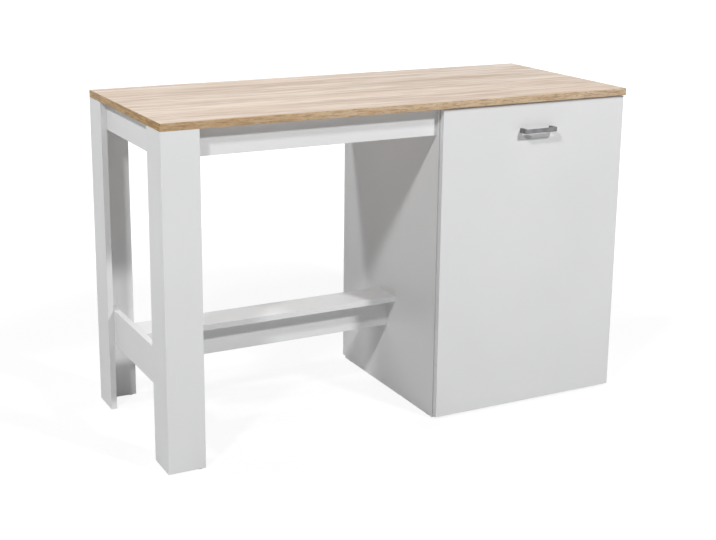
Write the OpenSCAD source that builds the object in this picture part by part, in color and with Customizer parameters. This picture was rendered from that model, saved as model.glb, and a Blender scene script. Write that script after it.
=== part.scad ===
// Bar-height kitchen island: a worktop on an open leg frame at the left and a one-door cabinet at the right.
// X runs left to right, Y front to back and Z up. The origin is on the floor under the middle of the whole island.
// Every board is placed from the worktop's front left corner, and place() then moves it to the origin.

/* [Worktop] */
// Width of the worktop, left to right
top_w = 1386; // [1250:1:1600]
// Depth of the worktop, front to back
top_d = 576; // [540:1:700]
// Thickness of the worktop
top_t = 20; // [16:1:38]
// Thickness of the strip glued round the worktop's edges
edging_t = 1; // [0.4:0.1:2]
// Height of the worktop's upper face above the floor
height = 900; // [850:1:1100]

/* [Boards] */
// Thickness of every coated board below the worktop
board_t = 16; // [15:1:19]
// Thickness of the glides that the boards stand on
glide_t = 2; // [1:0.5:5]
// Diameter of a glide
glide_d = 14; // [10:1:15]

/* [Leg frame] */
// Width of each of the two faces of a corner leg
leg_w = 100; // [85:1:140]
// Height of the aprons under the worktop
apron_h = 75; // [70:1:110]
// Step from the back of a leg's face board in to the long aprons
apron_gap = 21; // [8:1:35]
// Height of the side rail between the legs
rail_h = 100; // [90:1:140]

/* [Footrest] */
// Height of the footrest's upper face above the floor
rest_z = 295; // [220:1:400]
// Depth of the footrest shelf, front to back
rest_d = 100; // [90:1:150]
// Distance from the worktop's front edge to the footrest shelf
rest_in = 245; // [180:1:300]
// Distance from the footrest shelf's front edge to the beam under it
beam_in = 46; // [20:1:60]

/* [Cabinet] */
// Width of the cabinet over its sides
cab_w = 600; // [450:1:650]
// Gap between the floor and the cabinet's bottom board, back and door
cab_gap = 8; // [5:1:20]
// Distance from the cabinet sides' front edges to the adjustable shelves
shelf_in = 25; // [12:1:50]
// Gap at each end and at the back of an adjustable shelf
shelf_play = 1; // [0.5:0.5:3]
// Step between two holes for a shelf pin
pin_step = 32; // [25:1:40]
// Diameter of a shelf pin
pin_d = 5; // [4:0.5:6]
// Length of a shelf pin inside the side board
pin_deep = 8; // [6:1:10]
// Distance from the shelf's front and back edges to the shelf pins
pin_in = 45; // [30:1:80]

/* [Door] */
// Distance from the worktop's front edge to the door's face
door_in = 8; // [4:1:16]
// Gap between the door's back and the cabinet sides' front edges
door_gap = 2.5; // [2:0.5:4]
// Gap between the door's top edge and the worktop
door_head = 3; // [2:0.5:6]
// Distance from the cabinet's outer faces to the door's edges
door_reveal = 2; // [1.5:0.5:4]
// Diameter of the soft stops on the door's back
bumper_d = 9; // [6:1:12]

/* [Handle] */
// Distance between the handle's two screws
handle_pitch = 96; // [64:32:160]
// Distance from the door's face to the front of the handle
handle_out = 28; // [22:1:36]
// Height of the handle's bar
handle_h = 12; // [9:1:16]
// Thickness of the handle's bar
handle_t = 5; // [4:0.5:7]
// Width of each foot of the handle
foot_w = 10; // [7:0.5:12]
// Radius of the handle's outer corners
handle_r = 5; // [4:1:14]
// Distance from the door's top edge to the handle's middle
handle_drop = 73; // [50:1:140]
// Diameter of the screws that hold the handle
handle_screw_d = 4; // [3:0.5:5]

/* [Hinges] */
// Diameter of the bored cup
cup_d = 35; // [35:1:38]
// Depth of the bored cup
cup_deep = 11.5; // [11.5:0.1:12]
// Distance from the door's edge to the cup
cup_edge = 3; // [3:0.1:3.4]
// Distance from the door's top and bottom edges to the hinges
hinge_end = 100; // [80:1:160]
// Distance from the side board's front edge to the mounting plate's screws
plate_in = 37; // [34:1:50]
// Distance between the mounting plate's two screws
plate_pitch = 32; // [28:1:40]
// Diameter of the hinge's pins
hinge_pin_d = 2.4; // [2:0.1:2.8]

/* [Fittings] */
// Diameter of a wooden dowel
dowel_d = 8; // [6:1:9]
// Length of a dowel inside the board whose edge is joined
dowel_edge = 20; // [15:1:25]
// Length of a dowel inside the board whose face is joined
dowel_face = 10; // [7:1:11]
// Diameter of a cam disc
cam_d = 15; // [12:1:18]
// Depth of a cam disc
cam_deep = 12.5; // [10:0.5:13]
// Distance from a board's end to the cam disc's middle
cam_reach = 34; // [24:1:40]
// Diameter of a cam bolt's shaft
cam_bolt_d = 6; // [5:0.5:6.5]
// Diameter of a cam bolt's thread
cam_thread_d = 5; // [4:0.5:5.5]
// Diameter of a wood screw's shank
screw_d = 3.5; // [3:0.5:4]
// Length of a wood screw below its head
screw_l = 13; // [10:1:14]
// Width of a steel angle bracket under the worktop
bracket_w = 20; // [16:1:30]
// Length of each wing of a bracket
bracket_l = 24; // [20:1:30]
// Thickness of a bracket's steel
bracket_t = 1.5; // [1:0.5:2.5]

/* [Hidden] */
$fn = 64;

// Clearance round a pin, dowel, bolt or screw in its hole
fit = 0.05;
// Extra depth of a blind hole past what goes in it
spare = 0.5;
// How far a cutting shape runs past the face that it opens
past = 1;

// Heights of the boards' lower and upper ends
floor_z = glide_t;
under_top = height - top_t;

// Places along X of the leg frame and of the cabinet's sides. The side rail and the side apron lie against the
// backs of the legs' side boards.
rail_x = board_t;
side_apron_x = board_t;
cab_x = top_w - cab_w;
cab_in_x0 = cab_x + board_t;
cab_in_x1 = top_w - board_t;

// Places along Y of the aprons, the cabinet's front edges and its back board
apron_y0 = board_t + apron_gap;
apron_y1 = top_d - apron_y0 - board_t;
door_back = door_in + board_t;
cab_y0 = door_back + door_gap;
cab_y1 = top_d - board_t;

// The footrest: the side rail, the shelf and the beam under it end flush above and below
rest_x = rail_x + board_t;
rest_low = rest_z - rail_h;
beam_y = rest_in + beam_in;

// The door and its handle
door_x0 = cab_x + door_reveal;
door_x1 = top_w - door_reveal;
door_z1 = under_top - door_head;
handle_x = (door_x0 + door_x1) / 2;
handle_z = door_z1 - handle_drop;
handle_front = door_in - handle_out;
// How far the handle stands out past the worktop's front edge
grip_out = max(0, -handle_front);

// The adjustable shelves lie on the hole rows nearest to the thirds of the cabinet's height
cab_floor = cab_gap + board_t;
function shelf_row(third) = round((under_top - cab_floor) * third / 3 / pin_step);
function shelf_z(third) = cab_floor + shelf_row(third) * pin_step;
shelf_y0 = cab_y0 + shelf_in;
shelf_y1 = cab_y1 - shelf_play;
pin_tab = 2;
pin_out = 9;
pin_ys = [shelf_y0 + pin_in, shelf_y1 - pin_in];

// Hinge layout in plan. The door turns about swing, which lies inside the door near its hinged edge.
// Each link turns on arm_pin, bends at link_bend and ends at link_tip inside the cup.
hinge_zs = [cab_gap + hinge_end, door_z1 - hinge_end];
swing = [door_x1 - 5.8, door_back - 9];
arm_pin = [cab_in_x1 - 11, door_back + 6.6];
link_bend = [door_x1 - 11.4, door_back - 8.5];
link_tip = [door_x1 - 6.3, door_back - 5.4];
cup_x = door_x1 - cup_edge - cup_d / 2;
cup_lip = 1;
cup_wall = 0.9;
link_t = 2.4;
link_w = 7;
link_play = 0.7;
arm_w = 15;
arm_eye_d = 6.4;
plate_t = 6;
plate_base_t = 2;
plate_base_d = 18;
// Height of the plate's base beyond each screw
plate_end = 6;
// The block under the arm starts in front of the base, and is narrower than the arm
block_step = 4;
block_w = arm_w - 2;
plate_y = cab_y0 + plate_in;
// How far the arm runs behind the plate's screws, and how far its fork ends before them
arm_tail = 20;
fork_in = 19;
arm_back = plate_y + arm_tail;
cup_screw_x = cup_x - 6;
cup_screw_z = 24;
screw_head_d = 7;
screw_head_t = 1.6;

// Spreads count values evenly from low to high
function spread(low, high, count) = [for (i = [0:count - 1]) low + (high - low) * i / (count - 1)];

// Dowels as [point on the joint's plane, direction into the board whose edge is joined]
end_in = 60;
joint_in = 20;
corner_zs = spread(floor_z + end_in, under_top - end_in, 4);
// Across the aprons' height: the long aprons' dowel and cam, with the side apron's dowels between and above
apron_low_z = under_top - apron_h + joint_in;
apron_cam_z = apron_low_z + joint_in + dowel_d;
side_apron_zs = [(apron_low_z + apron_cam_z) / 2, apron_cam_z + 2 * dowel_d];
frame_dowel_list = concat(
    [for (z = corner_zs) [[board_t / 2, board_t, z], [0, 1, 0]]],
    [for (z = corner_zs) [[board_t / 2, top_d - board_t, z], [0, -1, 0]]],
    [for (z = [rest_low + joint_in, rest_z - joint_in]) [[rail_x + board_t / 2, board_t, z], [0, 1, 0]]],
    [for (z = [rest_low + joint_in, rest_z - joint_in]) [[rail_x + board_t / 2, top_d - board_t, z], [0, -1, 0]]],
    [for (y = [apron_y0, apron_y1]) [[board_t, y + board_t / 2, apron_low_z], [1, 0, 0]]],
    [for (y = [apron_y0, apron_y1]) [[cab_x, y + board_t / 2, apron_low_z], [-1, 0, 0]]],
    [for (z = side_apron_zs) [[side_apron_x + board_t / 2, apron_y0 + board_t, z], [0, 1, 0]]],
    [for (z = side_apron_zs) [[side_apron_x + board_t / 2, apron_y1, z], [0, -1, 0]]],
    [for (y = [rest_in + joint_in, rest_in + rest_d - joint_in]) [[rest_x, y, rest_z - board_t / 2], [1, 0, 0]]],
    [for (y = [rest_in + joint_in, rest_in + rest_d - joint_in]) [[cab_x, y, rest_z - board_t / 2], [-1, 0, 0]]],
    [[[rest_x, beam_y + board_t / 2, rest_low + joint_in], [1, 0, 0]]],
    [[[cab_x, beam_y + board_t / 2, rest_low + joint_in], [-1, 0, 0]]],
    [for (x = spread(rest_x + end_in * 2, cab_x - end_in * 2, 4))
        [[x, beam_y + board_t / 2, rest_z - board_t], [0, 0, -1]]],
    [for (y = [board_t / 2, top_d - board_t / 2]) [[leg_w / 2, y, under_top], [0, 0, -1]]],
    [for (y = [leg_w / 2 + board_t, top_d - leg_w / 2 - board_t]) [[board_t / 2, y, under_top], [0, 0, -1]]]);
cabinet_dowel_list = concat(
    [for (y = [cab_y0 + end_in, cab_y1 - end_in]) [[cab_in_x0, y, cab_gap + board_t / 2], [1, 0, 0]]],
    [for (y = [cab_y0 + end_in, cab_y1 - end_in]) [[cab_in_x1, y, cab_gap + board_t / 2], [-1, 0, 0]]],
    [for (x = [cab_x + board_t / 2, top_w - board_t / 2], z = spread(cab_gap + end_in, under_top - end_in, 4))
        [[x, cab_y1, z], [0, -1, 0]]],
    [for (x = spread(cab_x + end_in, top_w - end_in, 3)) [[x, cab_y1, cab_gap + board_t / 2], [0, -1, 0]]],
    [for (x = [cab_x + board_t / 2, top_w - board_t / 2], y = [cab_y0 + joint_in, cab_y1 - end_in])
        [[x, y, under_top], [0, 0, -1]]]);

// Cam fittings as [point on the joint's plane, direction into the board that holds the disc, the disc's face]
cam_side = 100;
cam_list = concat(
    [[[rail_x + board_t / 2, board_t, rest_z - rail_h / 2], [0, 1, 0], [1, 0, 0]]],
    [[[rail_x + board_t / 2, top_d - board_t, rest_z - rail_h / 2], [0, -1, 0], [1, 0, 0]]],
    [for (e = [[board_t, 1], [cab_x, -1]], r = [[apron_y0, 1], [apron_y1, -1]])
        [[e[0], r[0] + board_t / 2, apron_cam_z], [e[1], 0, 0], [0, r[1], 0]]],
    [for (e = [[rest_x, 1], [cab_x, -1]])
        [[e[0], beam_y + board_t / 2, rest_low + joint_in * 2 + cam_d], [e[1], 0, 0], [0, 1, 0]]],
    [for (e = [[cab_in_x0, 1], [cab_in_x1, -1]], y = [cab_y0 + cam_side, cab_y1 - cam_side])
        [[e[0], y, cab_gap + board_t / 2], [e[1], 0, 0], [0, 0, -1]]],
    [for (e = [[cab_x, 1], [cab_in_x1, -1]], z = [cab_gap + cam_side, under_top - cam_side])
        [[e[0] + board_t / 2, cab_y1, z], [0, -1, 0], [e[1], 0, 0]]],
    [for (e = [[cab_x, 1], [cab_in_x1, -1]], y = [cab_y0 + cam_side, cab_y1 - cam_side])
        [[e[0] + board_t / 2, y, under_top], [0, 0, -1], [e[1], 0, 0]]]);

// Brackets as [point in the corner of an apron and the worktop, direction away from the apron]
apron_mid = (board_t + cab_x) / 2;
apron_quarter = (cab_x - board_t) / 4;
bracket_list = concat(
    [for (x = [apron_mid - apron_quarter, apron_mid + apron_quarter])
        [[x, apron_y0 + board_t, under_top], [0, 1, 0]]],
    [for (x = [apron_mid - apron_quarter, apron_mid + apron_quarter]) [[x, apron_y1, under_top], [0, -1, 0]]],
    [[[side_apron_x + board_t, top_d / 2, under_top], [1, 0, 0]]]);
bracket_hole = bracket_l - 9;

// Wood screws as [point under the head, direction of the screw, thickness that it clamps]
bracket_screw_list = [for (b = bracket_list) each [
    [b[0] + b[1] * bracket_t - [0, 0, bracket_hole], -b[1], bracket_t],
    [b[0] + b[1] * bracket_hole - [0, 0, bracket_t], [0, 0, 1], bracket_t]]];
plate_screw_list = [for (z = hinge_zs, s = [-1, 1])
    [[cab_in_x1 - plate_base_t, plate_y, z + s * plate_pitch / 2], [1, 0, 0], plate_base_t]];
cup_screw_list = [for (z = hinge_zs, s = [-1, 1])
    [[cup_screw_x, door_back + cup_lip, z + s * cup_screw_z], [0, -1, 0], cup_lip]];
// A screw through a cup's lip stops short of the door's face
cup_screw_l = min(screw_l, board_t - 4);

// Glides as points under the boards
leg_glide = leg_w - glide_d;
glide_list = concat(
    [for (y = [board_t / 2, top_d - board_t / 2]) [leg_glide, y]],
    [for (y = [leg_glide, top_d - leg_glide]) [board_t / 2, y]],
    [for (x = [cab_x + board_t / 2, top_w - board_t / 2], y = [cab_y0 + end_in / 2, cab_y1 - end_in / 2]) [x, y]]);
nail_d = 2;
nail_l = 12;

// Shelf pins as [point on the side board's face, direction into the cabinet]
shelf_pin_list = [for (third = [1, 2], y = pin_ys, e = [[cab_in_x0, 1], [cab_in_x1, -1]])
    [[e[0], y, shelf_z(third) - pin_tab - pin_d / 2], [e[1], 0, 0]]];
pin_hole_list = [for (p = shelf_pin_list, step = [-1, 0, 1]) [p[0] + [0, 0, step * pin_step], p[1]]];

// Handle screws as points on the door's back
handle_screw_list = [for (s = [-1, 1]) [handle_x + s * handle_pitch / 2, door_back, handle_z]];
handle_bite = 10;

// Every hole as [start, direction, length, radius]. A board is cut by the holes that reach into its box.
function both_ways(p, a, back, ahead, r) = [p - a * back, a, back + ahead, r];
function dowel_holes(list) = [for (d = list)
    both_ways(d[0], d[1], dowel_face + spare, dowel_edge + spare, dowel_d / 2 + fit)];
function screw_holes(list, length) = [for (s = list)
    [s[0] + s[1] * s[2], s[1], length - s[2] + spare, screw_d / 2 + fit]];
hole_list = concat(
    dowel_holes(frame_dowel_list),
    dowel_holes(cabinet_dowel_list),
    [for (c = cam_list) both_ways(c[0], c[1], dowel_face + spare, 0, cam_thread_d / 2 + fit)],
    [for (c = cam_list) [c[0], c[1], cam_reach, cam_bolt_d / 2 + fit]],
    [for (c = cam_list) [c[0] + c[1] * cam_reach + c[2] * board_t / 2, -c[2], cam_deep + fit, cam_d / 2 + fit]],
    screw_holes(bracket_screw_list, screw_l),
    screw_holes(plate_screw_list, screw_l),
    screw_holes(cup_screw_list, cup_screw_l),
    [for (p = pin_hole_list) [p[0], -p[1], pin_deep + spare, pin_d / 2 + fit]],
    [for (g = glide_list) [[g[0], g[1], floor_z], [0, 0, 1], nail_l + spare, nail_d / 2 + fit]],
    [for (p = handle_screw_list) [p, [0, -1, 0], board_t, handle_screw_d / 2 + spare]],
    [for (z = hinge_zs) [[cup_x, door_back, z], [0, -1, 0], cup_deep + fit, cup_d / 2 + fit]]);

// Smallest and largest corners of a hole, and whether it reaches into a board's box
function hole_low(h) = [for (i = [0:2]) min(h[0][i], h[0][i] + h[1][i] * h[2]) - h[3] * (1 - abs(h[1][i]))];
function hole_high(h) = [for (i = [0:2]) max(h[0][i], h[0][i] + h[1][i] * h[2]) + h[3] * (1 - abs(h[1][i]))];
function reaches(h, b) = let (low = hole_low(h), high = hole_high(h))
    min([for (i = [0:2]) min(high[i], b[1][i]) - max(low[i], b[0][i])]) > fit / 2;

// Boards as boxes: the corner nearest to the worktop's front left corner, and the far corner
function from_size(corner, size) = [corner, corner + size];
leg_front_face_box = [[0, 0, floor_z], [leg_w, board_t, under_top]];
leg_front_side_box = [[0, board_t, floor_z], [board_t, leg_w, under_top]];
leg_rear_face_box = [[0, top_d - board_t, floor_z], [leg_w, top_d, under_top]];
leg_rear_side_box = [[0, top_d - leg_w, floor_z], [board_t, top_d - board_t, under_top]];
side_rail_box = [[rail_x, board_t, rest_low], [rail_x + board_t, top_d - board_t, rest_z]];
side_apron_box = [[side_apron_x, apron_y0 + board_t, under_top - apron_h],
    [side_apron_x + board_t, apron_y1, under_top]];
front_apron_box = [[board_t, apron_y0, under_top - apron_h], [cab_x, apron_y0 + board_t, under_top]];
rear_apron_box = [[board_t, apron_y1, under_top - apron_h], [cab_x, apron_y1 + board_t, under_top]];
footrest_shelf_box = [[rest_x, rest_in, rest_z - board_t], [cab_x, rest_in + rest_d, rest_z]];
footrest_beam_box = [[rest_x, beam_y, rest_low], [cab_x, beam_y + board_t, rest_z - board_t]];
cabinet_inner_side_box = [[cab_x, cab_y0, floor_z], [cab_in_x0, cab_y1, under_top]];
cabinet_outer_side_box = [[cab_in_x1, cab_y0, floor_z], [top_w, cab_y1, under_top]];
cabinet_bottom_box = [[cab_in_x0, cab_y0, cab_gap], [cab_in_x1, cab_y1, cab_floor]];
cabinet_back_box = [[cab_x, cab_y1, cab_gap], [top_w, top_d, under_top]];
door_box = [[door_x0, door_in, cab_gap], [door_x1, door_back, door_z1]];
worktop_box = [[edging_t, edging_t, under_top], [top_w - edging_t, top_d - edging_t, height]];
function shelf_box(third) = from_size([cab_in_x0 + shelf_play, shelf_y0, shelf_z(third)],
    [cab_in_x1 - cab_in_x0 - 2 * shelf_play, shelf_y1 - shelf_y0, board_t]);

// Moves from the worktop's front left corner to the origin under the middle of the island
module place() {
    translate([-top_w / 2, (grip_out - top_d) / 2, 0]) children();
}

// A round bar from a point along one of the three directions
module bar(p, a, length, r) {
    turn = a[2] != 0 ? [a[2] > 0 ? 0 : 180, 0, 0] : [0, 90, a[1] != 0 ? a[1] * 90 : a[0] > 0 ? 0 : 180];
    translate(p) rotate(turn) cylinder(h = length, r = r);
}

// A board with all the holes that reach into it
module board(box) {
    difference() {
        translate(box[0]) cube(box[1] - box[0]);
        for (h = hole_list)
            if (reaches(h, box))
                bar(h[0] - h[1] * fit, h[1], h[2] + fit, h[3]);
    }
}

module white_board(box) {
    color("#e9ebee") place() board(box);
}

module worktop() {
    color("#dcc3a1") place() board(worktop_box);
}

// The edging strip runs round all four edges of the worktop
module worktop_edging() {
    color("#b58a55") place() difference() {
        translate([0, 0, under_top]) cube([top_w, top_d, top_t]);
        translate([edging_t, edging_t, under_top - past])
            cube([top_w - 2 * edging_t, top_d - 2 * edging_t, top_t + 2 * past]);
    }
}

module leg_front_face() {
    white_board(leg_front_face_box);
}

module leg_front_side() {
    white_board(leg_front_side_box);
}

module leg_rear_face() {
    white_board(leg_rear_face_box);
}

module leg_rear_side() {
    white_board(leg_rear_side_box);
}

module side_rail() {
    white_board(side_rail_box);
}

module side_apron() {
    white_board(side_apron_box);
}

module front_apron() {
    white_board(front_apron_box);
}

module rear_apron() {
    white_board(rear_apron_box);
}

module footrest_shelf() {
    white_board(footrest_shelf_box);
}

module footrest_beam() {
    white_board(footrest_beam_box);
}

module cabinet_inner_side() {
    white_board(cabinet_inner_side_box);
}

module cabinet_outer_side() {
    white_board(cabinet_outer_side_box);
}

module cabinet_bottom() {
    white_board(cabinet_bottom_box);
}

module cabinet_back() {
    white_board(cabinet_back_box);
}

module lower_shelf() {
    white_board(shelf_box(1));
}

module upper_shelf() {
    white_board(shelf_box(2));
}

module door() {
    white_board(door_box);
}

// Steel pins with a flat tab, four under each adjustable shelf
module shelf_pins() {
    color("#c9ccd0") place() for (p = shelf_pin_list) {
        bar(p[0] - p[1] * pin_deep, p[1], pin_deep + pin_out, pin_d / 2);
        translate(p[0] + [min(0, p[1][0] * pin_out), -pin_d / 2, pin_d / 2 - fit])
            cube([pin_out, pin_d, pin_tab + fit]);
    }
}

// Plan of the handle: a bar with rounded corners and two feet
module bow_plan(width, depth, r) {
    square([width, depth - r]);
    translate([r, 0]) square([width - 2 * r, depth]);
    for (x = [r, width - r]) translate([x, depth - r]) circle(r);
}

// The handle is a one-piece bow, with a threaded bore in each foot
module door_handle() {
    length = handle_pitch + foot_w;
    inner_r = max(1, handle_r - handle_t);
    color("#a7a9ac") place() difference() {
        translate([handle_x + length / 2, door_in, handle_z - handle_h / 2]) rotate([0, 0, 180])
            linear_extrude(handle_h) difference() {
                bow_plan(length, handle_out, handle_r);
                translate([foot_w, -past])
                    bow_plan(length - 2 * foot_w, handle_out - handle_t + past, inner_r);
            }
        for (p = handle_screw_list)
            bar([p[0], door_in + past, p[2]], [0, -1, 0], past + handle_bite + spare, handle_screw_d / 2 + fit);
    }
}

module handle_screws() {
    head_t = 2;
    color("#b9bbbf") place() for (p = handle_screw_list) {
        bar(p, [0, 1, 0], head_t, handle_screw_d);
        bar(p + [0, fit, 0], [0, -1, 0], board_t + handle_bite + fit, handle_screw_d / 2);
    }
}

// Soft stops near the door's free edge, just clear of the cabinet side's front edge
module door_bumpers() {
    color("#dfe2e4") place() for (z = [cab_gap + end_in, door_z1 - end_in])
        bar([cab_x + board_t / 2, door_back, z], [0, 1, 0], door_gap - 6 * fit, bumper_d / 2);
}

// Steel cups pressed into the door's back, with a lip, two screw ears and a slot for the link
module hinge_cups() {
    slot_w = link_w + 2 * link_play;
    slot_x1 = cup_x + cup_d / 2 - cup_wall;
    slot_x0 = cup_x - cup_d / 2 + 4;
    ear_w = 15;
    color("#b9bcc0") place() for (z = hinge_zs) difference() {
        union() {
            bar([cup_x, door_back + cup_lip, z], [0, -1, 0], cup_deep + cup_lip, cup_d / 2);
            bar([cup_x, door_back, z], [0, 1, 0], cup_lip, cup_d / 2 + 1);
            translate([cup_screw_x - ear_w / 2, door_back, z - cup_screw_z - 5])
                cube([ear_w, cup_lip, 2 * cup_screw_z + 10]);
        }
        translate([slot_x0, door_back - cup_deep + cup_wall, z - slot_w / 2])
            cube([slot_x1 - slot_x0, cup_deep + past, slot_w]);
        translate([slot_x0, door_back, z - slot_w / 2]) cube([cup_d, cup_lip + past, slot_w]);
        for (s = [-1, 1])
            bar([cup_screw_x, door_back - fit, z + s * cup_screw_z], [0, 1, 0], cup_lip + past, screw_d / 2 + fit);
    }
}

// A screw with a flat round head, from the point under its head
module wood_screw(s, length) {
    bar(s[0], -s[1], screw_head_t, screw_head_d / 2);
    bar(s[0] - s[1] * fit, s[1], length + fit, screw_d / 2);
}

module cup_screws() {
    color("#c4c6ca") place() for (s = cup_screw_list) wood_screw(s, cup_screw_l);
}

// Plan of a strip of one thickness along three points, with a mitred bend and a chamfered end
module bent_strip(a, b, c, thick) {
    h = thick / 2;
    d1 = (b - a) / norm(b - a);
    d2 = (c - b) / norm(c - b);
    n1 = [-d1[1], d1[0]];
    n2 = [-d2[1], d2[0]];
    mitre = (n1 + n2) / (1 + n1 * n2);
    chamfer = 0.4;
    end = c + d2 * h * 0.9;
    polygon([a + n1 * h, b + mitre * h, c + n2 * h, end + n2 * h * chamfer,
        end - n2 * h * chamfer, c - n2 * h, b - mitre * h, a - n1 * h]);
}

// Bent steel links that turn on the arm's pin and reach into the cup
module hinge_links() {
    color("#a9acb0") place() for (z = hinge_zs) translate([0, 0, z - link_w / 2]) difference() {
        linear_extrude(link_w) {
            translate(arm_pin) circle(d = arm_eye_d - 1);
            bent_strip(arm_pin, link_bend, link_tip, link_t);
        }
        translate([arm_pin[0], arm_pin[1], -past]) cylinder(h = link_w + 2 * past, d = hinge_pin_d + 2 * fit);
    }
}

// Steel arms on the mounting plates, forked round the link at the nose
module hinge_arms() {
    arm_x0 = arm_pin[0] - arm_eye_d / 2;
    arm_x1 = cab_in_x1 - plate_t;
    fork_back = plate_y - fork_in;
    color("#b4b7bb") place() for (z = hinge_zs) translate([0, 0, z - arm_w / 2]) difference() {
        linear_extrude(arm_w) {
            translate(arm_pin) circle(d = arm_eye_d);
            polygon([arm_pin - [arm_eye_d / 2, 0], arm_pin + [arm_eye_d / 2, 0], [arm_x1, fork_back - 4],
                [arm_x1, arm_back], [arm_x0, arm_back]]);
        }
        translate([arm_x0 - past, door_back, (arm_w - link_w) / 2 - link_play])
            cube([cab_in_x1 - arm_x0, fork_back - door_back, link_w + 2 * link_play]);
        translate([arm_pin[0], arm_pin[1], -past]) cylinder(h = arm_w + 2 * past, d = hinge_pin_d + 2 * fit);
    }
}

module hinge_pins() {
    color("#d0d2d5") place() for (z = hinge_zs)
        translate([arm_pin[0], arm_pin[1], z - arm_w / 2]) cylinder(h = arm_w, d = hinge_pin_d);
}

// Mounting plates: a base with two screw holes, and the block that carries the arm
module hinge_plates() {
    base_h = plate_pitch + 2 * plate_end;
    block_y0 = plate_y - plate_base_d / 2 - block_step;
    color("#bfc2c6") place() for (z = hinge_zs) difference() {
        union() {
            translate([cab_in_x1 - plate_base_t, plate_y - plate_base_d / 2, z - base_h / 2])
                cube([plate_base_t, plate_base_d, base_h]);
            translate([cab_in_x1 - plate_t, block_y0, z - block_w / 2])
                cube([plate_t, arm_back - block_step - block_y0, block_w]);
        }
        for (s = [-1, 1])
            bar([cab_in_x1 - plate_base_t - past, plate_y, z + s * plate_pitch / 2], [1, 0, 0],
                plate_base_t + 2 * past, screw_d / 2 + fit);
    }
}

module plate_screws() {
    color("#c4c6ca") place() for (s = plate_screw_list) wood_screw(s, screw_l);
}

// Fluted beech dowels, drawn as plain pins
module dowels(list) {
    color("#d8b98a") place() for (d = list) bar(d[0] - d[1] * dowel_face, d[1], dowel_face + dowel_edge, dowel_d / 2);
}

module frame_dowels() {
    dowels(frame_dowel_list);
}

module cabinet_dowels() {
    dowels(cabinet_dowel_list);
}

// How far a cam bolt's end reaches into its disc
cam_bite = 4;

// Cam bolts: a thread in one board, and a shaft that ends inside the disc
module cam_bolts() {
    color("#b7babf") place() for (c = cam_list) {
        bar(c[0] - c[1] * dowel_face, c[1], dowel_face + fit, cam_thread_d / 2);
        bar(c[0], c[1], cam_reach - cam_d / 2 + cam_bite, cam_bolt_d / 2);
    }
}

// Cam discs: round, flush with the board's hidden face, bored for the bolt and slotted for a screwdriver
module cam_discs() {
    slot_w = 1.4;
    slot_l = 8;
    slot_deep = 1.5;
    color("#9fa3a8") place() for (c = cam_list) {
        middle = c[0] + c[1] * cam_reach;
        face = middle + c[2] * board_t / 2;
        across = [for (i = [0:2]) abs(c[1][i]) * slot_l + (1 - abs(c[1][i]) - abs(c[2][i])) * slot_w
            + abs(c[2][i]) * 2 * slot_deep];
        difference() {
            bar(face, -c[2], cam_deep, cam_d / 2);
            bar(middle, -c[1], cam_d, cam_bolt_d / 2 + fit);
            translate(face - across / 2) cube(across);
        }
    }
}

// Steel angles in the corners of the aprons and the worktop
module top_brackets() {
    color("#c0c3c7") place() for (b = bracket_list) {
        side = [b[1][1], b[1][0], 0] * bracket_w / 2;
        low = b[0] - side;
        wing_down = b[0] + side + b[1] * bracket_t - [0, 0, bracket_l];
        wing_out = b[0] + side + b[1] * bracket_l - [0, 0, bracket_t];
        difference() {
            union() {
                box_between(low, wing_down);
                box_between(low, wing_out);
            }
            bar(b[0] - b[1] * past - [0, 0, bracket_hole], b[1], bracket_t + 2 * past, screw_d / 2 + fit);
            bar(b[0] + b[1] * bracket_hole + [0, 0, past], [0, 0, -1], bracket_t + 2 * past, screw_d / 2 + fit);
        }
    }
}

// A box between any two opposite corners
module box_between(a, b) {
    low = [for (i = [0:2]) min(a[i], b[i])];
    high = [for (i = [0:2]) max(a[i], b[i])];
    translate(low) cube(high - low);
}

module bracket_screws() {
    color("#c4c6ca") place() for (s = bracket_screw_list) wood_screw(s, screw_l);
}

// Plastic glides with a nail, under the ends of the boards that stand on the floor
module glides() {
    color("#d5d6d8") place() for (g = glide_list) {
        bar([g[0], g[1], 0], [0, 0, 1], glide_t, glide_d / 2);
        bar([g[0], g[1], glide_t - fit], [0, 0, 1], nail_l + fit, nail_d / 2);
    }
}

worktop();
worktop_edging();
leg_front_face();
leg_front_side();
leg_rear_face();
leg_rear_side();
side_rail();
side_apron();
front_apron();
rear_apron();
footrest_shelf();
footrest_beam();
cabinet_inner_side();
cabinet_outer_side();
cabinet_bottom();
cabinet_back();
lower_shelf();
upper_shelf();
shelf_pins();
door();
door_handle();
handle_screws();
door_bumpers();
hinge_cups();
cup_screws();
hinge_links();
hinge_arms();
hinge_pins();
hinge_plates();
plate_screws();
frame_dowels();
cabinet_dowels();
cam_bolts();
cam_discs();
top_brackets();
bracket_screws();
glides();
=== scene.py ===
import math

import bmesh
import bpy
from mathutils import Euler, Matrix, Vector


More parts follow.
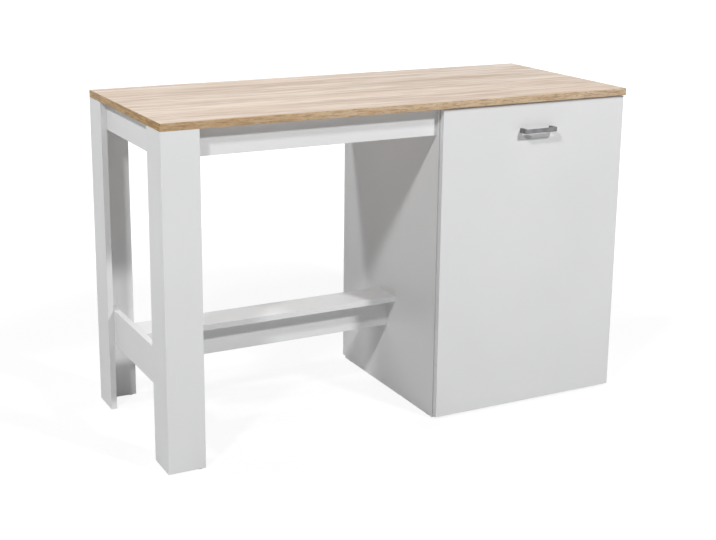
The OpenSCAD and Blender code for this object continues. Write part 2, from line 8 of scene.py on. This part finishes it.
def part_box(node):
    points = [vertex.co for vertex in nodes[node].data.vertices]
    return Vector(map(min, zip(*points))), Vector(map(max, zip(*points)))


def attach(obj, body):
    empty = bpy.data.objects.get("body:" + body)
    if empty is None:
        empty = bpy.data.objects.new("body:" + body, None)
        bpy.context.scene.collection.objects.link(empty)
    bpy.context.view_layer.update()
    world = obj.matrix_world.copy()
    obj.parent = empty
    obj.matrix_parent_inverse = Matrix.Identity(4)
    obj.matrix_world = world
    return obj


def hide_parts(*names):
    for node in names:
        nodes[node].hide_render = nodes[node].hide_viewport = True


# The looks of a kitchen island with a worktop, an open leg end, a footrest and a cabinet with one door.
# Sizes are in metres. X runs along the worktop, -Y comes out of the door's face, and the floor is at Z 0.
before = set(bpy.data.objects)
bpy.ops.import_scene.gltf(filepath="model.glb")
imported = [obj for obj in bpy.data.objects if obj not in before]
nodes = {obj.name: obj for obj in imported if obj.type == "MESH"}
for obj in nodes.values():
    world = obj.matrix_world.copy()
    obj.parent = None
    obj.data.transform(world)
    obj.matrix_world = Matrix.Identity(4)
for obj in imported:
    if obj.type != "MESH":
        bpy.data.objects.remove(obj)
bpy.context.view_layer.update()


# Worktop
# A chipboard panel, 20 mm thick, coated with a matt paper that is printed as pale sawn oak. The grain runs
# along the length. Dowels, cams and five angle brackets hold it from below.
mm = 0.001


class Wire:
    """A number inside a material, which takes part in sums."""

    def __init__(self, finish, socket):
        self.finish = finish
        self.socket = socket

    def maths(self, operation, *others):
        return self.finish.node("ShaderNodeMath", {"operation": operation}, self, *others)

    def __add__(self, other):
        return self.maths("ADD", other)

    def __radd__(self, other):
        return self + other

    def __sub__(self, other):
        return self.maths("SUBTRACT", other)

    def __rsub__(self, other):
        return self * -1 + other

    def __mul__(self, other):
        return self.maths("MULTIPLY", other)

    def __truediv__(self, other):
        return self.maths("DIVIDE", other)

    def __pow__(self, other):
        return self.maths("POWER", other)

    def __abs__(self):
        return self.maths("ABSOLUTE")

    def wave(self):
        return self.maths("SINE") * 0.5 + 0.5

    def least(self, other):
        return self.maths("MINIMUM", other)

    def most(self, other):
        return self.maths("MAXIMUM", other)

    def ease(self, low, high, at_low=0.0, at_high=1.0):
        """Goes smoothly from at_low, where this number is low, to at_high, where it is high."""
        settings = {"interpolation_type": "SMOOTHSTEP", "clamp": True}
        return self.finish.node("ShaderNodeMapRange", settings, self, low, high, at_low, at_high)


class Finish:
    """A material with one Principled surface, and the calls that wire up its details."""

    def __init__(self, name, **values):
        self.material = bpy.data.materials.new(name)
        self.material.use_nodes = True
        self.tree = self.material.node_tree
        self.surface = self.tree.nodes["Principled BSDF"]
        for socket, value in values.items():
            self.set(socket.replace("_", " "), value)

    def set(self, socket, value):
        """Gives a socket of the surface a plain value or a wire."""
        target = self.surface.inputs[socket]
        if isinstance(value, Wire):
            self.tree.links.new(value.socket, target)
        elif isinstance(value, tuple):
            target.default_value = (*value, 1.0)
        else:
            target.default_value = value

    def node(self, kind, settings, *inputs, output=0, **named):
        """Adds a node: its settings first, then its inputs by their place or name."""
        made = self.tree.nodes.new(kind)
        for key, value in settings.items():
            setattr(made, key, value)
        for key, value in [*enumerate(inputs), *named.items()]:
            if isinstance(value, Wire):
                self.tree.links.new(value.socket, made.inputs[key])
            else:
                made.inputs[key].default_value = value
        return Wire(self, made.outputs[output])

    def place(self):
        """The point being shaded, in metres."""
        return self.node("ShaderNodeTexCoord", {}, output="Object")

    def axes(self, point):
        outputs = self.node("ShaderNodeSeparateXYZ", {}, point).socket.node.outputs
        return [Wire(self, outputs[axis]) for axis in range(3)]

    def point(self, x, y, z):
        return self.node("ShaderNodeCombineXYZ", {}, x, y, z)

    def moved(self, point, offset):
        return self.node("ShaderNodeVectorMath", {"operation": "ADD"}, point, offset)

    def noise(self, point, per_metre, detail=2.0, roughness=0.5):
        """Cloudy noise about 0.5. per_metre is how many spots there are along X, Y and Z.

        detail is the number of finer layers on top, and roughness is how strong they are.
        """
        stretched = self.node("ShaderNodeVectorMath", {"operation": "MULTIPLY"}, point, per_metre)
        return self.node("ShaderNodeTexNoise", {}, Vector=stretched, Scale=1.0, Detail=detail,
            Roughness=roughness)

    def mix(self, share, low, high):
        """A colour that is low where share is 0 and high where it is 1."""
        made = self.tree.nodes.new("ShaderNodeMix")
        made.data_type = "RGBA"
        for name, value in (("Factor_Float", share), ("A_Color", low), ("B_Color", high)):
            socket = next(s for s in made.inputs if s.identifier == name)
            if isinstance(value, Wire):
                self.tree.links.new(value.socket, socket)
            else:
                socket.default_value = (*value, 1.0) if isinstance(value, tuple) else value
        return Wire(self, next(s for s in made.outputs if s.identifier == "Result_Color"))

    def relief(self, height, depth, edge_radius=0.0):
        """Bump of the given depth in metres, with sharp edges shaded as if rounded to edge_radius."""
        inputs = {"Height": height, "Strength": 1.0, "Distance": depth}
        if edge_radius:
            inputs["Normal"] = self.node("ShaderNodeBevel", {"samples": 6}, edge_radius)
        self.set("Normal", self.node("ShaderNodeBump", {}, **inputs))

    def put(self, *pieces):
        for piece in pieces:
            piece.data.materials.clear()
            piece.data.materials.append(self.material)


oak_pale = (0.905, 0.800, 0.700)
oak_tan = (0.540, 0.400, 0.300)
oak_warm = (0.790, 0.615, 0.475)
oak_brown = (0.400, 0.285, 0.200)
oak_chalk = (0.860, 0.780, 0.700)
oak = Finish("oak_decor", Base_Color=oak_pale, Roughness=0.5, Specular_IOR_Level=0.3)
here = oak.place()
x, y, z = oak.axes(here)
# The grain wanders sideways by a few millimetres along its length
wander_w = 45 * mm
wander = (oak.noise(here, (1.7, 2.5, 2.5), 2) - 0.5) * wander_w
grain = oak.point(x, y + wander, z)
bands = oak.noise(grain, (1.1, 13, 13), 3, 0.5)
streaks = oak.noise(grain, (4.2, 64, 64), 5, 0.62)
lines = oak.noise(grain, (9, 200, 200), 4, 0.65)
warmth = oak.noise(grain, (1.5, 6, 6), 3, 0.55)
pores = oak.noise(grain, (38, 1300, 1300), 3, 0.6)
saw = oak.noise(grain, (520, 11, 11), 3, 0.65)
# How much each layer of the print darkens or tints the pale ground
band_share = 0.34
streak_share = 0.50
line_share = 0.22
warm_share = 0.45
tone = bands.ease(0.36, 0.64) * band_share + streaks.ease(0.38, 0.62) * streak_share
tone = tone + lines.ease(0.36, 0.62) * line_share
colour = oak.mix(tone, oak_pale, oak_tan)
colour = oak.mix(warmth.ease(0.50, 0.72) * warm_share, colour, oak_warm)
# Flame figure round a few hearts: each one's place along X and Y, its half length and its half width
hearts = [
    (-0.37, 0.155, 0.34, 0.050),
    (0.14, 0.060, 0.30, 0.040),
    (0.36, -0.030, 0.26, 0.036),
    (-0.06, -0.130, 0.30, 0.044),
    (0.53, -0.125, 0.26, 0.042),
    (-0.50, -0.045, 0.26, 0.040),
]
# How close its rings lie, how far the streaks and the wander bend them, and how dark they are
ring_turn = 19
ring_waver = 12
ring_drift = 1.4
ring_share = 0.30
flames = None
for heart_x, heart_y, half_x, half_y in hearts:
    along = (x - heart_x) / half_x
    across = (y + wander * ring_drift - heart_y) / half_y
    reach = (along ** 2 + across ** 2) ** 0.5
    flame = (reach * ring_turn + streaks * ring_waver).wave() * reach.ease(0.10, 1.0, 1.0, 0.0)
    flames = flame if flames is None else flames.most(flame)
colour = oak.mix(flames * ring_share, colour, oak_brown)
# Short dark flecks gather in the darker streaks
fleck_share = 0.45
flecks = oak.noise(grain, (9, 120, 120), 3, 0.55).ease(0.60, 0.70) * streaks.ease(0.50, 0.68)
colour = oak.mix(flecks * fleck_share, colour, oak_brown)
# Pores show as fine dashes, more so in the darker streaks, and saw marks as chalky lines across the grain
dashes = pores.ease(0.55, 0.72) * (streaks.ease(0.35, 0.7) * 0.20 + 0.10)
colour = oak.mix(dashes, colour, oak_brown)
saw_share = 0.16
colour = oak.mix(saw.ease(0.52, 0.80) * saw_share, colour, oak_chalk)
oak_depth = 0.09 * mm
oak.set("Base Color", colour)
oak.set("Roughness", 0.45 + dashes * 0.5 + saw * 0.08)
oak.relief(saw * 0.35 - pores * 0.5 + lines * 0.3, oak_depth)
oak.put(nodes["worktop"])

# Worktop edging
# A plastic strip, 1 mm thick, glued round all four edges and milled round at its top and bottom. Its print
# is a darker golden oak, with short streaks along each edge.
edging_low, edging_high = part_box("worktop_edging")
edging_t = 1 * mm
edging_round = 0.8 * mm
plan_corner = 1.2 * mm
least_corner = 0.1 * mm
quarter = [math.radians(angle) for angle in (0, 30, 60, 90)]


def plan_loop(inset):
    """Points round the worktop, seen from above, at a distance inside its outline."""
    radius = max(plan_corner - inset, least_corner)
    reach = inset + radius
    points = []
    for x_side, y_side, turn in ((1, 0, -90), (1, 1, 0), (0, 1, 90), (0, 0, 180)):
        centre_x = edging_high.x - reach if x_side else edging_low.x + reach
        centre_y = edging_high.y - reach if y_side else edging_low.y + reach
        for angle in quarter:
            whole = angle + math.radians(turn)
            points.append((centre_x + radius * math.cos(whole), centre_y + radius * math.sin(whole)))
    return points


def closed_skin(shape, loops):
    """Joins each loop of points to the next, and the last one to the first."""
    rings = [[shape.verts.new(point) for point in loop] for loop in loops]
    count = len(rings[0])
    for ring, after in zip(rings, rings[1:] + rings[:1]):
        for i in range(count):
            j = (i + 1) % count
            shape.faces.new((ring[i], ring[j], after[j], after[i]))


def piece_from(name, shape, body, node, sharp):
    """Makes a piece of a bmesh, which rides on a body and stands for a node of the frame.

    Edges that turn by more than sharp degrees stay sharp.
    """
    bmesh.ops.recalc_face_normals(shape, faces=shape.faces)
    data = bpy.data.meshes.new(name)
    shape.to_mesh(data)
    shape.free()
    data.shade_smooth()
    data.set_sharp_from_angle(angle=math.radians(sharp))
    piece = bpy.data.objects.new(name, data)
    bpy.context.scene.collection.objects.link(piece)
    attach(piece, body)
    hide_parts(node)
    return piece


# The section goes up the outside, rounded below and above, and comes down the inside
section = [(edging_round * (1 - math.sin(a)), edging_low.z + edging_round * (1 - math.cos(a)))
    for a in quarter]
section += [(edging_round * (1 - math.cos(a)), edging_high.z - edging_round * (1 - math.sin(a)))
    for a in quarter]
section += [(edging_t, edging_high.z), (edging_t, edging_low.z)]
shape = bmesh.new()
closed_skin(shape, [[(px, py, level) for px, py in plan_loop(inset)] for inset, level in section])
edging = piece_from("worktop_edging_strip", shape, "island", "worktop_edging", 50)

strip_pale = (0.690, 0.535, 0.375)
strip_gold = (0.505, 0.340, 0.185)
strip_brown = (0.285, 0.160, 0.070)
strip_end = (0.530, 0.335, 0.095)
strip_milled = (0.720, 0.580, 0.410)
strip = Finish("oak_edging", Base_Color=strip_gold, Roughness=0.45, Specular_IOR_Level=0.2)
here = strip.place()
x, y, z = strip.axes(here)
patches = strip.noise(here, (7, 7, 24), 3, 0.6)
streaks = strip.noise(here, (24, 24, 300), 4, 0.62)
flecks = strip.noise(here, (70, 50, 330), 2, 0.5)
# The print drifts from gold at the open end to a paler tan at the cabinet
patch_share = 0.55
drift_share = 0.60
drift = x.ease(edging_low.x, edging_high.x) * drift_share
colour = strip.mix(patches.ease(0.25, 0.75) * patch_share + drift, strip_gold, strip_pale)
# The two short ends are cut from a darker stretch of the roll, with a coarser grain
end_inside = 0.8 * mm
end_outside = 1.6 * mm
end_share = 0.8
coarse_share = 0.80
coarse = strip.noise(here, (16, 16, 150), 3, 0.6)
at_end = (x - edging_low.x).least(edging_high.x - x).ease(end_inside, end_outside, 1.0, 0.0)
colour = strip.mix(at_end * end_share, colour, strip_end)
colour = strip.mix(at_end * coarse.ease(0.43, 0.60) * coarse_share, colour, strip_brown)
colour = strip.mix(streaks.ease(0.44, 0.66) * (0.60 + at_end * 0.20), colour, strip_brown)
colour = strip.mix(flecks.ease(0.55, 0.68) * (0.50 + at_end * 0.45), colour, strip_brown)
# Milling lightens the top and bottom edge of the strip
milled_w = 1.0 * mm
milled_core = 0.2 * mm
milled_share = 0.45
strip_depth = 0.05 * mm
to_corner = (edging_high.z - z).least(z - edging_low.z)
colour = strip.mix(to_corner.ease(milled_core, milled_w, milled_share, 0.0), colour, strip_milled)
strip.set("Base Color", colour)
strip.set("Roughness", 0.38 + streaks * 0.16)
strip.relief(streaks, strip_depth)
strip.put(edging)

# Leg frame
# Two corner legs at the open end, each of two boards in an L, with a low side rail and three aprons. They
# are joined by dowels and cams. The boards are 16 mm chipboard with a satin white coating, and a thin
# white strip closes each sawn edge.
white = (0.820, 0.824, 0.830)
white_shade = (0.795, 0.799, 0.804)
glue_line = (0.640, 0.635, 0.620)
strip_t = 0.6 * mm
line_half = 0.10 * mm
glue_share = 0.55
coat_depth = 0.05 * mm
board_arris = 0.8 * mm


def coat_white(*names):
    """Coats boards white, with the glue lines of their edge strips laid out from each board's box."""
    for name in names:
        low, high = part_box(name)
        thin_axis = min(range(3), key=lambda axis: high[axis] - low[axis])
        board = Finish("white_" + name, Base_Color=white, Roughness=0.36, Specular_IOR_Level=0.3)
        here = board.place()
        own = board.moved(here, (low[1] * 3.1, low[2] * 2.3, low[0] * 1.7))
        texture = board.noise(own, (900, 900, 900), 3, 0.55)
        waves = board.noise(own, (45, 45, 45), 2)
        cloud = board.noise(own, (2.5, 2.5, 2.5), 3)
        lines = None
        for axis, value in enumerate(board.axes(here)):
            if axis != thin_axis:
                inside = (value - low[axis]).least(high[axis] - value)
                line = abs(inside - strip_t).ease(line_half, 3 * line_half, 1.0, 0.0)
                lines = line if lines is None else lines.most(line)
        colour = board.mix(cloud.ease(0.3, 0.7), white, white_shade)
        board.set("Base Color", board.mix(lines * glue_share, colour, glue_line))
        board.set("Roughness", 0.31 + texture * 0.09 + cloud * 0.06)
        board.relief(texture * 0.55 + waves * 0.45, coat_depth, board_arris)
        board.put(nodes[name])


coat_white("leg_front_face", "leg_front_side", "leg_rear_face", "leg_rear_side", "side_rail",
    "side_apron", "front_apron", "rear_apron")

# Footrest
# A narrow shelf of the same board, from the side rail to the cabinet, on a beam that stands on edge under
# its middle. Dowels hold the shelf's ends and the beam, and a cam at each end pulls the beam tight.
coat_white("footrest_shelf", "footrest_beam")

# Cabinet
# Two sides, a raised bottom and a full back of the same board, under the right end of the worktop. Dowels
# and cams join them, and two adjustable shelves lie on steel pins inside.
coat_white("cabinet_inner_side", "cabinet_outer_side", "cabinet_bottom", "cabinet_back", "lower_shelf",
    "upper_shelf")

# Door
# One tall door of the same board. It covers the cabinet's front edges and hangs on two cup hinges at its
# right edge.
coat_white("door")

# Door handle
# A bow of flat bar, die-cast in one piece, with a satin nickel finish brushed along its length. Two screws
# from inside the door hold its feet.
bow_low, bow_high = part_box("door_handle")
bar_t = 5 * mm
foot_w = 10 * mm
outer_r = 5 * mm
inner_r = 1 * mm
arris = 0.8 * mm
same_place = 0.01 * mm
bend_angles = [math.radians(angle) for angle in (15, 30, 45, 60, 75)]


def half_outline(side):
    """One half of the bow from above, outside then inside. side is -1 at the left and 1 at the right."""
    end = bow_high.x if side > 0 else bow_low.x
    outer_centre = end - side * outer_r
    outside = [(end, bow_high.y), (end, bow_low.y + outer_r)]
    outside += [(outer_centre + side * outer_r * math.cos(a), bow_low.y + outer_r * (1 - math.sin(a)))
        for a in bend_angles]
    outside.append((outer_centre, bow_low.y))
    bend_x = end - side * (foot_w + inner_r)
    bend_y = bow_low.y + bar_t + inner_r
    inside = [(bend_x, bend_y - inner_r)]
    inside += [(bend_x + side * inner_r * math.sin(a), bend_y - inner_r * math.cos(a))
        for a in bend_angles]
    inside += [(end - side * foot_w, bend_y), (end - side * foot_w, bow_high.y)]
    return outside, inside


left_out, left_in = half_outline(-1)
right_out, right_in = half_outline(1)
outline = left_out + right_out[::-1] + right_in[::-1] + left_in
shape = bmesh.new()
face = shape.faces.new([shape.verts.new((px, py, bow_low.z)) for px, py in outline])
for item in bmesh.ops.extrude_face_region(shape, geom=[face])["geom"]:
    if isinstance(item, bmesh.types.BMVert):
        item.co.z = bow_high.z
# Every edge round the top and the bottom gets the arris, but not those against the door
rims = [edge for edge in shape.edges if abs(edge.verts[0].co.z - edge.verts[1].co.z) < same_place
    and min(vert.co.y for vert in edge.verts) < bow_high.y - same_place]
bmesh.ops.bevel(shape, geom=rims, offset=arris, segments=3, profile=0.5, affect="EDGES")
bmesh.ops.triangulate(shape, faces=[face for face in shape.faces if len(face.verts) > 8])
bow = piece_from("door_handle_bow", shape, "door_leaf", "door_handle", 35)

# Painted reflection: both nickel colours are far darker than bare nickel. They stand in for dark
# surroundings mirrored in the bar, and the handling noise between them is random tone.
nickel_painted_dark = (0.235, 0.235, 0.241)
nickel_painted_darker = (0.170, 0.170, 0.175)
nickel = Finish("handle_metal", Base_Color=nickel_painted_dark, Metallic=1.0, Roughness=0.32)
here = nickel.place()
brushing = nickel.noise(here, (55, 1500, 1500), 5, 0.7)
handling = nickel.noise(here, (60, 60, 60), 3)
nickel.set("Base Color", nickel.mix(handling.ease(0.3, 0.75), nickel_painted_dark, nickel_painted_darker))
nickel.set("Roughness", 0.25 + brushing * 0.14 + handling * 0.06)
brushed_depth = 0.04 * mm
nickel.relief(brushing, brushed_depth)
nickel.put(bow)

# Hinges
# Two cup hinges of nickel-plated pressed steel. Each cup is sunk in the door, and each arm hooks onto a
# plate that is screwed to the cabinet's outer side.
fitting_arris = 0.35 * mm


def metal(name, fittings, colour, roughness, marks_per_metre, depth):
    """Plates or casts fittings, with fine marks in their gloss and surface and duller clouds over them."""
    made = Finish(name, Base_Color=colour, Metallic=1.0, Roughness=roughness)
    here = made.place()
    marks = made.noise(here, marks_per_metre, 4, 0.6)
    cloud = made.noise(here, (70, 70, 70), 3)
    dull = tuple(part * 0.8 for part in colour)
    made.set("Base Color", made.mix(cloud.ease(0.35, 0.75), colour, dull))
    made.set("Roughness", roughness - 0.06 + marks * 0.12 + cloud.ease(0.4, 0.8) * 0.08)
    made.relief(marks, depth, fitting_arris)
    made.put(*(nodes[fitting] for fitting in fittings))


metal("hinge_steel", ["hinge_cups", "hinge_links", "hinge_arms", "hinge_pins", "hinge_plates"],
    colour=(0.62, 0.615, 0.605), roughness=0.24, marks_per_metre=(140, 140, 900), depth=0.03 * mm)

# Screws, brackets and pins
# Zinc-plated steel: all the screws, the angle brackets under the worktop, the pins that carry the shelves,
# and the bolts that the cams pull on.
metal("fitting_steel",
    ["handle_screws", "cup_screws", "plate_screws", "bracket_screws", "top_brackets", "shelf_pins",
    "cam_bolts"],
    colour=(0.60, 0.605, 0.62), roughness=0.32, marks_per_metre=(420, 420, 420), depth=0.04 * mm)

# Cam discs
# Slotted discs of raw die-cast zinc, each in a bore in the face of a board. A turn of the disc pulls the
# bolt of the next board tight.
metal("cam_zinc", ["cam_discs"],
    colour=(0.43, 0.435, 0.45), roughness=0.46, marks_per_metre=(800, 800, 800), depth=0.08 * mm)

# Dowels
# Plain beech pegs, glued into both boards of a joint. They set its place before it is pulled or screwed
# together.
beech_pale = (0.66, 0.47, 0.29)
beech_brown = (0.50, 0.33, 0.18)
beech = Finish("beech", Base_Color=beech_pale, Roughness=0.6)
rays = beech.noise(beech.place(), (180, 180, 180), 4, 0.6)
beech.set("Base Color", beech.mix(rays.ease(0.35, 0.7), beech_pale, beech_brown))
beech.set("Roughness", 0.55 + rays * 0.15)
beech_depth = 0.1 * mm
beech.relief(rays, beech_depth)
beech.put(nodes["frame_dowels"], nodes["cabinet_dowels"])

# Glides and door stops
# White plastic glides, nailed under the legs and the cabinet's sides, and clear soft stops, stuck on the
# back of the door.
pebble_depth = 0.04 * mm
moulded_arris = 0.3 * mm


def moulded(name, node, colour, roughness):
    """Moulds a small plastic part, with a fine pebbled skin."""
    made = Finish(name, Base_Color=colour, Roughness=roughness)
    pebble = made.noise(made.place(), (1900, 1900, 1900), 2)
    made.set("Base Color", made.mix(pebble, colour, tuple(part * 0.94 for part in colour)))
    made.set("Roughness", roughness - 0.05 + pebble * 0.1)
    made.relief(pebble, pebble_depth, moulded_arris)
    made.put(nodes[node])


moulded("glide_plastic", "glides", colour=(0.66, 0.665, 0.67), roughness=0.5)
moulded("soft_stop", "door_bumpers", colour=(0.74, 0.75, 0.76), roughness=0.25)

# Studio floor and background
# A pale floor that keeps a soft shadow of the island, and white all round. Lamps' light bounces off the
# floor, while the camera and the metals see it as nearly white.
floor_half = 14.0
floor_white = (0.60, 0.60, 0.60)
pure_white = (1.0, 1.0, 1.0, 1.0)
near_share = 0.72
near_reach = 1.2
far_reach = 2.2
paper_level = 1.20
ambient = 0.03
floor_data = bpy.data.meshes.new("studio_floor")
corners = [(-floor_half, -floor_half, 0.0), (floor_half, -floor_half, 0.0),
    (floor_half, floor_half, 0.0), (-floor_half, floor_half, 0.0)]
floor_data.from_pydata(corners, [], [(0, 1, 2, 3)])
floor = bpy.data.objects.new("studio_floor", floor_data)
bpy.context.scene.collection.objects.link(floor)


def seen_directly(tree):
    """1 for what the camera sees, and for what shows in metal or through clear things; else 0."""
    rays = tree.nodes.new("ShaderNodeLightPath")
    total = rays.outputs["Is Camera Ray"]
    for kind in ("Is Glossy Ray", "Is Transmission Ray"):
        made = tree.nodes.new("ShaderNodeMath")
        made.operation = "MAXIMUM"
        tree.links.new(total, made.inputs[0])
        tree.links.new(rays.outputs[kind], made.inputs[1])
        total = made.outputs[0]
    return total


paper = Finish("studio_paper", Base_Color=floor_white, Roughness=0.9, Specular_IOR_Level=0.0)
x, y, z = paper.axes(paper.place())
from_island = (x ** 2 + y ** 2) ** 0.5
glow = paper.node("ShaderNodeEmission", {}, pure_white, paper_level)
share = Wire(paper, seen_directly(paper.tree)) * from_island.ease(near_reach, far_reach, near_share, 1.0)
blend = paper.node("ShaderNodeMixShader", {}, share, Wire(paper, paper.surface.outputs[0]), glow)
paper.tree.links.new(blend.socket, paper.tree.nodes["Material Output"].inputs["Surface"])
paper.put(floor)

world = bpy.data.worlds.new("studio")
world.use_nodes = True
bpy.context.scene.world = world
sky = world.node_tree
dome = sky.nodes["Background"]
dome.inputs["Color"].default_value = pure_white
dome.inputs["Strength"].default_value = ambient
backdrop = sky.nodes.new("ShaderNodeBackground")
backdrop.inputs["Color"].default_value = pure_white
backdrop.inputs["Strength"].default_value = 1.0
pick = sky.nodes.new("ShaderNodeMixShader")
sky.links.new(seen_directly(sky), pick.inputs[0])
sky.links.new(dome.outputs[0], pick.inputs[1])
sky.links.new(backdrop.outputs[0], pick.inputs[2])
sky.links.new(pick.outputs[0], sky.nodes["World Output"].inputs["Surface"])

# Lamps
# Five softboxes on stands round the island. Three of them, in front of it and at the open end, shape it,
# and two low ones fill in its back and the cabinet's end.
lamp_aim = Vector((0.0, 0.0, 0.45))
lamp_distance = 6.0
# Each lamp's name, the degrees it stands to the left of the door's front, the degrees it is raised, its
# width, its power, and whether glossy surfaces show it
softboxes = [
    ("front_box", -21, 39, 0.5, 181.0, True),
    ("left_box", 49, 41, 0.55, 126.0, True),
    ("side_box", 108, 46, 0.5, 102.0, True),
    ("rear_fill", -170, 18, 1.5, 76.0, False),
    ("end_fill", -96, 16, 1.2, 104.0, False),
]
for name, left, up, width, watts, in_gloss in softboxes:
    lamp = bpy.data.lights.new(name, "AREA")
    lamp.shape = "DISK"
    lamp.size = width
    lamp.energy = watts
    stand = bpy.data.objects.new(name, lamp)
    bpy.context.scene.collection.objects.link(stand)
    stand.visible_glossy = in_gloss
    round_by, raised = math.radians(left), math.radians(up)
    level = math.cos(raised)
    away = Vector((-math.sin(round_by) * level, -math.cos(round_by) * level, math.sin(raised)))
    stand.location = lamp_aim + away * lamp_distance
    stand.rotation_euler = (-away).to_track_quat("-Z", "Y").to_euler()

# Camera
# It stands in front of the open end, looks along to the door and is aimed a little down from above the
# worktop.
camera_place = (-1.700, -3.200, 1.453)
to_the_right = math.radians(27.76)
downward = math.radians(14.04)
tilt = math.radians(0.62)
lens_data = bpy.data.cameras.new("camera")
# The lens and the sensor in millimetres, and the shift as a share of the picture's width
lens_data.lens = 66.1
lens_data.sensor_width = 36
lens_data.shift_y = -0.08
camera = bpy.data.objects.new("camera", lens_data)
bpy.context.scene.collection.objects.link(camera)
camera.location = camera_place
aimed = Euler((math.pi / 2 - downward, 0, -to_the_right)).to_matrix() @ Matrix.Rotation(tilt, 3, "Z")
camera.rotation_euler = aimed.to_euler()
bpy.context.scene.camera = camera
bpy.context.scene.view_settings.view_transform = "Standard"
